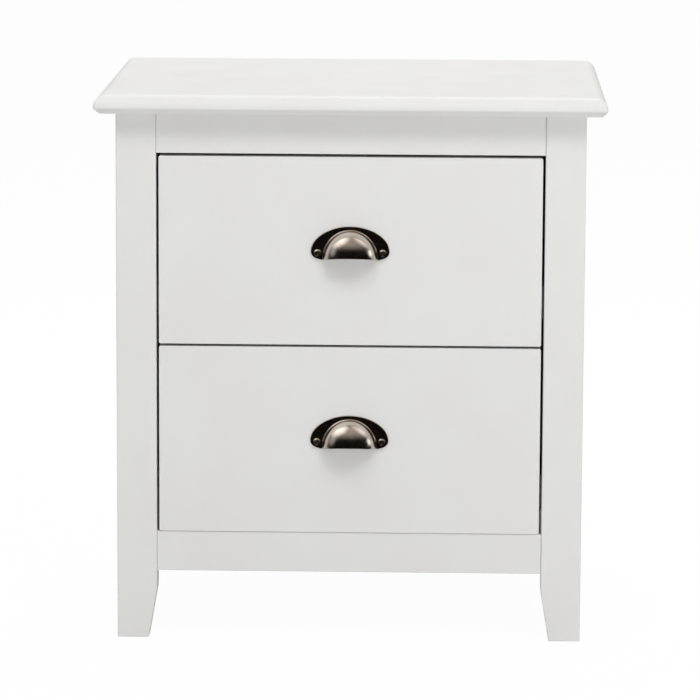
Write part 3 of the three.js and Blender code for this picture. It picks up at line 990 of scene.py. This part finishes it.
@dataclass
class Runners:
    """The roller runners: a channel on the cabinet and an angle on each drawer side."""

    sheet: float = 1.2 * MM
    bend: float = 1.9 * MM
    inner_bend: float = 0.7 * MM
    cut_edge: float = 0.25 * MM
    arris: float = 0.2 * MM
    channel_lip: float = 179.7 * MM  # the channel's lips, out from the cabinet's middle
    wall_out: float = 12 * MM  # the angle's wall, out from its inner edge
    lip_out: float = 9.5 * MM  # the angle's lip, out from its wall
    axle_radius: float = 2.5 * MM
    rivet_radius: float = 4.5 * MM
    rivet_height: float = 0.7 * MM
    play: float = 0.3 * MM  # between a roller and its axle, and under the rivet's head
    hub: float = 1.6 * MM
    rim: float = 2 * MM
    face_depth: float = 0.7 * MM  # how deep each face of a roller is hollowed
    tread_round: float = 1 * MM
    hub_round: float = 0.3 * MM
    bore_round: float = 0.2 * MM
    round_steps: int = 4
    roller_columns: int = 64
    axle_columns: int = 40
    batten_arris: float = 0.8 * MM
    screw: Screw = Screw(radius=3.2 * MM, height=0.75 * MM, recess=0.4 * MM, rows=12, columns=48)
    screw_places: tuple[float, ...] = (0.2, 0.5, 0.85)  # along a member, as parts of its length

    def strip(self, node: str, side: Side, section: list[list[float]], bends: Sequence[float]) -> Surface:
        """A strip bent to a section, carried along the runner.

        Args:
            node: The node that gives the runner's ends.
            side: The side of the cabinet.
            section: Corners (outwards from the cabinet's middle, upwards).
            bends: The rounding of each corner.

        Returns:
            The strip's closed surface.
        """
        low, high = corners(node)
        outline = rounded_outline(np.array(section) * [side.value, 1], np.array(bends), self.round_steps)
        return carried(Axis.Y, [low[1], high[1]], outline[:, ::-1])

    def channel(self, node: str, side: Side) -> Surface:
        """The cabinet member: a channel, open towards the drawer.

        Args:
            node: The member's node.
            side: The side of the cabinet.

        Returns:
            The channel's closed surface.
        """
        (_, back), (low, high) = reach(node), corners(node)[:, 2]
        lip, web, floor, roof = self.channel_lip, back - self.sheet, low + self.sheet, high - self.sheet
        outer = [[lip, low], [back, low], [back, high], [lip, high]]
        inner = [[lip, roof], [web, roof], [web, floor], [lip, floor]]
        edge, bend, tight = self.cut_edge, self.bend, self.inner_bend
        return self.strip(node, side, outer + inner, [edge, bend, bend, edge, edge, tight, tight, edge])

    def angle(self, node: str, side: Side) -> Surface:
        """The drawer member: a foot under the drawer side, a wall beside it and a lip above.

        Args:
            node: The member's node.
            side: The side of the cabinet.

        Returns:
            The angle's closed surface.
        """
        (inner, _), (low, high) = reach(node), corners(node)[:, 2]
        wall = inner + self.wall_out
        face, lip = wall + self.sheet, wall + self.lip_out
        foot_top, lip_under = low + self.sheet, high - self.sheet
        outside = [[inner, low], [face, low], [face, lip_under], [lip, lip_under]]
        inside = [[lip, high], [wall, high], [wall, foot_top], [inner, foot_top]]
        edge, bend, tight = self.cut_edge, self.bend, self.inner_bend
        return self.strip(node, side, outside + inside, [edge, bend, tight, edge, edge, bend, tight, edge])

    def roller(self, node: str) -> Surface:
        """A roller: a tread with round shoulders, a hollow in each face and a bore.

        Args:
            node: The roller's node.

        Returns:
            The roller's closed surface.
        """
        low, high = corners(node)
        half, outer = (high[0] - low[0]) / 2, (high[2] - low[2]) / 2
        bore = self.axle_radius + self.play
        hub, rim, hollow = bore + self.hub, outer - self.rim, half - self.face_depth
        hub_side = [[bore, half], [hub, half], [hub, hollow]]
        profile = np.array(hub_side + [[rim, hollow], [rim, half], [outer, half]])
        ease = np.array([self.bore_round, *[self.hub_round] * 4, self.tread_round])
        both = np.concatenate([profile * [1, -1], profile[::-1]])
        section = rounded_outline(both, np.concatenate([ease, ease[::-1]]), self.round_steps)
        return turned(Axis.X, (low + high) / 2, section, self.roller_columns, closed=True)

    def axle(self, roller: str, start: float, side: Side) -> Surface:
        """A riveted axle: a pin from the member's wall through the roller, with a domed head.

        Args:
            roller: The roller's node.
            start: The wall's distance from the cabinet's middle.
            side: The side of the cabinet.

        Returns:
            The rivet's closed surface.
        """
        centre = corners(roller).mean(axis=0)
        centre[0] = side.value * start
        near, far = reach(roller)
        length = (far if start < near else near) - start
        towards = math.copysign(1, length)
        seat = length + towards * self.play
        dome = pan_head(self.rivet_radius, self.rivet_height)[1:] * [1, towards] + [0, seat]
        pin = np.array([[0, 0], [self.axle_radius, 0], [self.axle_radius, seat]])
        profile = np.concatenate([pin, dome]) * [1, side.value]
        return turned(Axis.X, centre, profile, self.axle_columns)

    def build(self) -> None:
        """Makes both members, the rollers and their rivets for each drawer and side."""
        for level in Level:
            for side in Side:
                tag = f"{level.word}_{side.word}"
                node = f"cabinet_runner_{tag}"
                web = reach(node)[1] - self.sheet
                strip = together(self.channel(node, side), self.axle(f"cabinet_roller_{tag}", web, side))
                make_piece(f"bent_{node}", strip, ENAMEL, CABINET, [node], self.arris, 2)
                self.build_heads(node, side.value * web, -side.value, CABINET)
                node = f"drawer_runner_{tag}"
                wall = reach(node)[0] + self.wall_out
                strip = together(self.angle(node, side), self.axle(f"drawer_roller_{tag}", wall, side))
                make_piece(f"bent_{node}", strip, ENAMEL, level.body, [node], self.arris, 2)
                self.build_heads(node, side.value * (wall + self.sheet), side.value, level.body)
                for kind in ("cabinet", "drawer"):
                    node = f"{kind}_roller_{tag}"
                    make_piece(f"moulded_{node}", self.roller(node), NYLON, node, [node])
                dress_node(f"runner_batten_{tag}", PINE, self.batten_arris)

    def build_heads(self, node: str, x: float, outwards: int, body: str) -> None:
        """The flat screw heads along a member's wall.

        Args:
            node: The member's node.
            x: Where the wall's face is.
            outwards: The sign of x where the heads look.
            body: The body that they move with.
        """
        low, high = corners(node)
        z = (low[2] + high[2]) / 2
        centres = [(x, low[1] + place * (high[1] - low[1]), z) for place in self.screw_places]
        make_piece(f"{node}_screws", self.screw.heads(Axis.X, centres, outwards), ZINC, body)


# ---------------------------------------------------------------- drawers


@dataclass
class Drawers:
    """The drawers: a lacquered front, foil-wrapped sides and back, and a thin bottom."""

    arris: float = 0.8 * MM
    corner: float = 1.8 * MM
    corner_steps: int = 4
    groove: float = 5.6 * MM
    groove_depth: float = 6 * MM
    groove_up: float = 35.7 * MM
    box_half_width: float = 171.2 * MM
    board_arris: float = 0.5 * MM
    bottom_arris: float = 0.3 * MM
    screw: Screw = Screw(radius=3.2 * MM, height=0.5 * MM, recess=0.35 * MM, rows=12, columns=48)
    screw_shares: Pair = (0.25, 0.75)  # up a drawer side, as parts of its height

    def front(self, node: str) -> Surface:
        """The front: its section, carried across, with the groove for the bottom in its back.

        The groove starts and ends where the drawer's box does. Near each end the section is
        lower by r (1 - sin a) at a distance r (1 - cos a) from the end, which rounds the corners.

        Args:
            node: The front's node.

        Returns:
            The front's closed surface.
        """
        low, high = corners(node)
        bottom, top = low[2] + self.groove_up, low[2] + self.groove_up + self.groove
        angle = np.linspace(0, QUARTER_TURN, self.corner_steps + 1)
        from_end, lowered = self.corner * (1 - np.cos(angle)), self.corner * (1 - np.sin(angle))
        half = self.box_half_width
        stations = np.concatenate([low[0] + from_end, [-half, -half, half, half], high[0] - from_end[::-1]])
        depths = np.concatenate([0 * angle, [0, self.groove_depth, self.groove_depth, 0], 0 * angle])
        lower = np.concatenate([lowered, [0, 0, 0, 0], lowered[::-1]])
        section = [[low[1], low[2]], [high[1], low[2]], [high[1], bottom], [high[1], bottom]]
        section += [[high[1], top], [high[1], top], [high[1], high[2]], [low[1], high[2]]]
        outlines = np.repeat(np.array(section)[None], len(stations), axis=0)
        outlines[:, 3:5, 0] -= depths[:, None]
        outlines[:, :2, 1] += lower[:, None]
        outlines[:, 6:, 1] -= lower[:, None]
        return carried(Axis.X, stations, outlines)

    def box_screws(self, level: Level, side: Side) -> Surface:
        """The heads of the screws that go through a drawer side into its back.

        Args:
            level: The drawer.
            side: The side of the cabinet.

        Returns:
            The heads as one surface.
        """
        node = f"drawer_side_{level.word}_{side.word}"
        (bottom, top), y = corners(node)[:, 2], corners(f"drawer_back_{level.word}")[:, 1].mean()
        x = side.value * reach(node)[1]
        centres = [(x, y, bottom + share * (top - bottom)) for share in self.screw_shares]
        return self.screw.heads(Axis.X, centres, side.value)

    def build(self) -> None:
        """Makes each drawer's front and fastenings, and dresses its boards."""
        for level in Level:
            node = f"drawer_front_{level.word}"
            make_piece(f"lacquered_{node}", self.front(node), LACQUER, level.body, [node], self.arris, 4)
            for side in Side:
                dress_node(f"drawer_side_{level.word}_{side.word}", FOIL, self.board_arris)
                name = f"drawer_joint_screws_{level.word}_{side.word}"
                make_piece(name, self.box_screws(level, side), ZINC, level.body)
            dress_node(f"drawer_back_{level.word}", FOIL, self.board_arris)
            dress_node(f"drawer_bottom_{level.word}", FIBREBOARD, self.bottom_arris)


@dataclass
class CupPull:
    """A cup pull: a plate with a hollow half dome that is open below, and its two screws."""

    level: Level
    corner_width: float = 9.5 * MM
    corner_height: float = 7.5 * MM
    corner_share: float = 0.1  # how much of the columns turn each lower corner
    plate: float = 2 * MM
    plate_edge: float = 1.1 * MM
    edge_share: float = 0.12  # how much of the way to the cove the plate's rounded edge takes
    face_shares: Pair = (0.14, 0.97)  # where the plate's flat face begins and ends
    boss_radius: float = 5 * MM
    boss_height: float = 0.9 * MM
    cove_width: float = 1.1 * MM
    cove_height: float = 1.3 * MM
    dome_half_width: float = 27 * MM
    dome_height: float = 28.5 * MM
    wall: float = 1.8 * MM
    mouth_rise: float = 3.6 * MM
    lip_drop: float = 0.6  # how far the mouth's lip hangs, as a part of half its thickness
    screw_height: float = 2.2 * MM
    screw_recess: float = 1.2 * MM
    screw_shank: float = 1.6 * MM
    columns: int = 129
    edge_rows: int = 4
    face_rows: int = 14
    cove_rows: int = 10
    dome_rows: int = 34
    lip_columns: int = 5
    low: np.ndarray = field(init=False)
    high: np.ndarray = field(init=False)
    reach: float = field(init=False)

    def __post_init__(self) -> None:
        """Takes the pull's box and how far it stands out from the frame."""
        self.low, self.high = corners(f"cup_pull_{self.level.word}")
        self.reach = self.high[1] - self.low[1]

    def outline(self) -> np.ndarray:
        """The plate's edge from its right lower corner, over the top, to its left lower corner.

        Each lower corner is a quarter ellipse; between them runs the upper half of an ellipse as
        wide as the plate.

        Returns:
            Points (across, up from the lower edge), of shape (columns, 2).
        """
        half, height = self.high[0], self.high[2] - self.low[2]
        share = np.linspace(0, 1, self.columns)
        corner = np.clip(np.minimum(share, 1 - share) / self.corner_share, 0, 1) * QUARTER_TURN
        over = np.clip((share - self.corner_share) / (1 - 2 * self.corner_share), 0, 1) * math.pi
        sign = np.where(share < 0.5, 1, -1)
        in_corner = np.minimum(share, 1 - share) < self.corner_share
        corner_x = sign * (half - self.corner_width + self.corner_width * np.sin(corner))
        across = np.where(in_corner, corner_x, half * np.cos(over))
        corner_z = self.corner_height * (1 - np.cos(corner))
        up = np.where(in_corner, corner_z, self.corner_height + (height - self.corner_height) * np.sin(over))
        return np.stack([across, up], axis=1)

    def foot(self, offset: float) -> np.ndarray:
        """The half ellipse where the dome meets the plate, made wider by an offset."""
        angle = np.linspace(0, math.pi, self.columns)
        across = (self.dome_half_width + offset) * np.cos(angle)
        return np.stack([across, (self.dome_height + offset) * np.sin(angle)], axis=1)

    def plate_rows(self, inner: np.ndarray, shares: np.ndarray) -> np.ndarray:
        """Rows from the outline to an inner curve, at the given shares of the way."""
        outer = self.outline()
        return outer + (inner - outer) * shares[:, None, None]

    def dome(self, shrink: float, start: float) -> tuple[np.ndarray, np.ndarray]:
        """Half an ellipsoid: across a cos t cos f, out p sin f, up h sin t cos f.

        Args:
            shrink: How far inside the outer surface it lies.
            start: The angle f of its first row. The last row is its foremost point.

        Returns:
            The rows across and up, of shape (rows, columns, 2), and how far out each row stands.
        """
        angle = np.linspace(start, QUARTER_TURN, self.dome_rows)
        rows = self.foot(-shrink) * np.cos(angle)[:, None, None]
        return rows, (self.reach - shrink) * np.sin(angle)

    def sheet(self, flat: np.ndarray, out: np.ndarray) -> np.ndarray:
        """Puts rows in place and lifts the mouth.

        The mouth's edge rises with the distance out, up to mouth_rise at the front.

        Args:
            flat: Rows (across, up), of shape (rows, columns, 2).
            out: How far each point stands out from the plate's back.

        Returns:
            Points of shape (rows, columns, 3).
        """
        lift = self.mouth_rise * np.maximum(out - self.plate, 0) / (self.reach - self.plate)
        up = flat[..., 1] + lift * (1 - flat[..., 1] / (2 * self.dome_height))
        return np.stack([flat[..., 0], self.high[1] - out, self.low[2] + up], axis=-1)

    def boss(self, flat: np.ndarray) -> np.ndarray:
        """How far the plate's face is raised: a round boss that fades out from each screw.

        Args:
            flat: Rows (across, up), of shape (rows, columns, 2).

        Returns:
            The rise at each point, of shape (rows, columns).
        """
        nodes = [f"pull_screw_{self.level.word}_{side.word}" for side in Side]
        centres = np.stack([corners(node).mean(axis=0)[[0, 2]] for node in nodes]) - [0, self.low[2]]
        away = np.linalg.norm(flat[..., None, :] - centres, axis=-1).min(axis=-1)
        return self.boss_height * smooth_step(1 - away / self.boss_radius)

    def front_sheet(self) -> tuple[np.ndarray, int]:
        """The sheet from the plate's edge over the face and a cove to the dome's foremost point.

        The cove stands w (1 - sin a) off the dome and h (1 - cos a) off the plate.

        Returns:
            Points of shape (rows, columns, 3), and how many of the rows come before the dome's.
        """
        turn = np.linspace(0, QUARTER_TURN, self.edge_rows, endpoint=False)
        face = np.linspace(*self.face_shares, self.face_rows)
        shares = np.concatenate([self.edge_share * (1 - np.cos(turn)), face])
        plate_flat = self.plate_rows(self.foot(self.cove_width), shares)
        edge_out = self.plate - self.plate_edge * (1 - np.sin(turn))
        plate_out = np.concatenate([edge_out, np.full(self.face_rows, self.plate)])[:, None]
        plate_out = plate_out + self.boss(plate_flat)
        bend = np.linspace(0, QUARTER_TURN, self.cove_rows)
        dome_start = math.asin((self.plate + self.cove_height) / self.reach)
        drawn_in = self.dome_half_width * (1 - math.cos(dome_start))
        offsets = (self.cove_width + drawn_in) * (1 - np.sin(bend)) - drawn_in
        cove_flat = np.stack([self.foot(offset) for offset in offsets])
        cove_out = self.plate + self.cove_height * (1 - np.cos(bend))
        dome_flat, dome_out = self.dome(0, dome_start)
        rest_out = np.repeat(np.concatenate([cove_out, dome_out])[:, None], self.columns, axis=1)
        flat = np.concatenate([plate_flat, cove_flat, dome_flat])
        return self.sheet(flat, np.concatenate([plate_out, rest_out])), len(plate_flat) + len(cove_flat)

    def shell(self) -> Surface:
        """The whole pull as one closed wall.

        The back sheet has as many rows as the front one, behind it. A strip closes the plate's
        edge, and a half-round lip closes the mouth on both sides.

        Returns:
            The wall's closed surface.
        """
        front, flat_rows = self.front_sheet()
        plate_flat = self.plate_rows(self.foot(-self.wall), np.linspace(0, 1, flat_rows + 1)[:-1])
        hollow_flat, hollow_out = self.dome(self.wall, 0)
        out = np.repeat(np.concatenate([np.zeros(flat_rows), hollow_out])[:, None], self.columns, axis=1)
        back = self.sheet(np.concatenate([plate_flat, hollow_flat]), out)
        lips = [self.lip(front[:, column], back[:, column]) for column in (0, -1)]
        return together(grid(front), grid(back), grid(np.stack([front[0], back[0]])), *lips)

    def lip(self, outer: np.ndarray, inner: np.ndarray) -> Surface:
        """A half-round strip between the front and back sheets along the mouth.

        With M the middle and H half the way from back to front, it is M + H cos b, moved down by
        lip_drop of the half thickness times sin b, for b from 0 to half a turn. It fades out at
        the plate's edge.

        Args:
            outer: The front sheet's edge, of shape (rows, 3).
            inner: The back sheet's edge, of the same shape.

        Returns:
            The strip's surface.
        """
        angle = np.linspace(0, math.pi, self.lip_columns)[None, :, None]
        middle, half = ((outer + inner) / 2)[:, None], ((outer - inner) / 2)[:, None]
        thick = np.linalg.norm(half, axis=-1, keepdims=True)
        fade = np.clip(np.arange(len(outer)) / self.edge_rows, 0, 1)[:, None, None]
        down = np.array([0, 0, -1.0]) * thick * self.lip_drop * fade
        return grid(middle + half * np.cos(angle) + down * np.sin(angle))

    def build(self) -> None:
        """Makes the shell, and the two screws whose shanks go into the drawer front."""
        node = f"cup_pull_{self.level.word}"
        make_piece(f"plated_{node}", self.shell(), NICKEL, self.level.body, [node])
        for side in Side:
            node = f"pull_screw_{self.level.word}_{side.word}"
            surface = screw_for(node, Axis.Y, self.screw_height, self.screw_recess, self.screw_shank)
            make_piece(f"plated_{node}", surface, NICKEL, self.level.body, [node])


# ---------------------------------------------------------------- studio


@dataclass(frozen=True)
class Lamp:
    """A soft box: where it stands, its size in metres and its power in watts.

    Mirrors don't see it: they see the surround's glows instead.
    """

    name: str
    place: Triple
    size: Pair
    power: float
    target: Triple = (0.0, 0.0, 0.3)

    def build(self) -> None:
        """Adds the lamp, turned to its target."""
        light = bpy.data.lights.new(self.name, "AREA")
        light.shape = "RECTANGLE"
        light.size, light.size_y = self.size
        light.energy = self.power
        lamp = put_in_scene(self.name, light)
        lamp.location = self.place
        way = Vector(self.target) - Vector(self.place)
        lamp.rotation_euler = way.to_track_quat("-Z", "Y").to_euler()
        lamp.visible_camera = False
        lamp.visible_glossy = False


@dataclass(frozen=True)
class Glow:
    """A bright patch of the surround, as polished metal mirrors it."""

    direction: Triple
    inner: float  # degrees from its middle to where it begins to fade
    outer: float  # degrees from its middle to where it has faded
    strength: float

    def level(self, tree: Tree, way: Socket) -> Socket:
        """The patch's brightness in a direction.

        Args:
            tree: The surround's node tree.
            way: The direction.

        Returns:
            The socket with the brightness.
        """
        middle = Vector(self.direction).normalized()
        facing = add_node(tree, "ShaderNodeVectorMath", {0: way, 1: middle}, operation="DOT_PRODUCT")
        faded, whole = (math.cos(math.radians(angle)) for angle in (self.outer, self.inner))
        edge = {"Value": facing.outputs["Value"], "From Min": faded, "From Max": whole}
        return add_node(tree, "ShaderNodeMapRange", {**edge, "To Max": self.strength}).outputs["Result"]


@dataclass
class Studio:
    """A plain pale floor, soft boxes and a long lens in front of the cabinet."""

    camera_place: Triple = (0.0988, -4.1397, 0.9554)
    yaw: float = math.radians(-1.423)  # turned towards +X is positive
    pitch: float = math.radians(-9.492)
    roll: float = math.radians(0.28)
    lens: float = 210.23
    sensor: float = 36.0
    clip_end: float = 100.0
    floor_colour: str = "E6E6E6"
    floor_glow: float = 0.97
    room: float = 12.0
    soft_shade: str = "ABABAB"  # the surround as the light on the cabinet
    eye_shade: str = "FEFEFE"  # and as the eye sees it
    mirror_shades: tuple[str, str] = ("0C0706", "B4AEA8")  # and as metal mirrors it, low and high
    mirror_heights: Pair = (0.35, 0.75)  # the directions' z where those two begin
    lamps: tuple[Lamp, ...] = (
        Lamp("right_softbox", (0.9, -1.6, 2.25), (0.9, 0.6), 12.7),
        Lamp("middle_softbox", (-0.2, -1.3, 2.3), (0.8, 0.6), 7.8),
        Lamp("left_softbox", (-0.9, -1.6, 2.25), (0.6, 0.6), 2.6),
        Lamp("rear_softbox", (0.0, 1.7, 2.4), (2.0, 1.0), 37.0),
        Lamp("low_softbox", (0.9, -3.0, 0.1), (1.2, 0.5), 23.4),
    )
    glows: tuple[Glow, ...] = (
        Glow((-0.56, -0.12, 0.82), 14, 34, 1.5),
        Glow((0.62, 0.19, 0.76), 16, 38, 1.0),
        Glow((0.986, -0.07, 0.15), 5, 12, 2.2),
        Glow((-0.93, -0.29, 0.25), 6, 20, 0.45),
        Glow((0.0, 1.0, 0.1), 30, 72, 0.45),
    )

    def build(self) -> None:
        """Builds everything round the cabinet."""
        self.build_camera()
        self.build_floor()
        self.build_surround()
        for lamp in self.lamps:
            lamp.build()
        bpy.context.scene.view_settings.view_transform = "Standard"

    def build_camera(self) -> None:
        """The camera: forward from yaw and pitch, then rolled about that line."""
        level = Vector((math.cos(self.yaw), -math.sin(self.yaw), 0))
        ahead = Vector((math.sin(self.yaw), math.cos(self.yaw), 0))
        forward = ahead * math.cos(self.pitch) + Vector((0, 0, math.sin(self.pitch)))
        upright = level.cross(forward)
        right = level * math.cos(self.roll) + upright * math.sin(self.roll)
        up = upright * math.cos(self.roll) - level * math.sin(self.roll)
        data = bpy.data.cameras.new("front_camera")
        data.lens, data.sensor_width = self.lens, self.sensor
        data.clip_end = self.clip_end
        camera = put_in_scene("front_camera", data)
        turn = Matrix((right, up, -forward)).transposed().to_4x4()
        camera.matrix_world = Matrix.Translation(self.camera_place) @ turn
        bpy.context.scene.camera = camera

    def build_floor(self) -> None:
        """A pale matt floor, lit through from below to the eye, that polished metal doesn't mirror."""
        mesh = bpy.data.meshes.new("floor")
        plan = rectangle((-self.room, -self.room), (self.room, self.room))
        mesh.from_pydata(np.column_stack([plan, np.zeros(4)]).tolist(), [], [[0, 1, 2, 3]])
        material = bpy.data.materials.new("studio_floor")
        material.use_nodes = True
        tree = material.node_tree
        tree.nodes.clear()
        pale = add_node(tree, "ShaderNodeBsdfDiffuse", {"Color": linear(self.floor_colour)}).outputs[0]
        dim = (*[1 - self.floor_glow] * 3, 1.0)
        thin = add_node(tree, "ShaderNodeBsdfDiffuse", {"Color": dim}).outputs[0]
        glow = add_node(tree, "ShaderNodeEmission", {"Strength": self.floor_glow}).outputs[0]
        lit = add_node(tree, "ShaderNodeAddShader", {0: thin, 1: glow}).outputs[0]
        eye = add_node(tree, "ShaderNodeLightPath").outputs["Is Camera Ray"]
        surface = add_node(tree, "ShaderNodeMixShader", {0: eye, 1: pale, 2: lit}).outputs[0]
        add_node(tree, "ShaderNodeOutputMaterial", {"Surface": surface})
        mesh.materials.append(material)
        floor = put_in_scene("floor", mesh)
        floor.visible_glossy = False

    def mirrored(self, tree: Tree) -> Socket:
        """What polished metal sees: dark low down, pale above, and the soft boxes' glows.

        Args:
            tree: The surround's node tree.

        Returns:
            The socket with the colour.
        """
        way = add_node(tree, "ShaderNodeTexCoord").outputs["Generated"]
        height = add_node(tree, "ShaderNodeSeparateXYZ", {"Vector": way}).outputs["Z"]
        rise = {"Value": height, "From Min": self.mirror_heights[0], "From Max": self.mirror_heights[1]}
        share = add_node(tree, "ShaderNodeMapRange", rise).outputs["Result"]
        low, high = (linear(shade) for shade in self.mirror_shades)
        shade = add_node(tree, "ShaderNodeMix", {0: share, 6: low, 7: high}, data_type="RGBA").outputs[2]
        for glow in self.glows:
            patch = {0: 1.0, 6: shade, 7: glow.level(tree, way)}
            shade = add_node(tree, "ShaderNodeMix", patch, data_type="RGBA", blend_type="ADD").outputs[2]
        return shade

    def build_surround(self) -> None:
        """An even white to the eye and soft light on the cabinet; mirrors see mirrored()."""
        world = bpy.data.worlds.new("studio_surround")
        world.use_nodes = True
        bpy.context.scene.world = world
        tree = world.node_tree
        tree.nodes.clear()
        rays = add_node(tree, "ShaderNodeLightPath").outputs
        seen = {0: rays["Is Camera Ray"], 6: linear(self.soft_shade), 7: linear(self.eye_shade)}
        soft = add_node(tree, "ShaderNodeMix", seen, data_type="RGBA").outputs[2]
        both = {0: rays["Is Glossy Ray"], 6: soft, 7: self.mirrored(tree)}
        colour = add_node(tree, "ShaderNodeMix", both, data_type="RGBA").outputs[2]
        light = add_node(tree, "ShaderNodeBackground", {"Color": colour, "Strength": 1.0}).outputs[0]
        add_node(tree, "ShaderNodeOutputWorld", {"Surface": light})


# ---------------------------------------------------------------- the whole cabinet


def main() -> None:
    """Builds the studio, then the cabinet from the top down."""
    logging.basicConfig(level=logging.INFO, format="%(name)s %(message)s")
    Studio().build()
    for part in (TopBoard, Legs, Rails, SidePanels, BackPanel, TopScrews, Runners, Drawers):
        part().build()
    for level in Level:
        CupPull(level).build()
    bpy.context.view_layer.update()


if __name__ == "__main__":
    main()
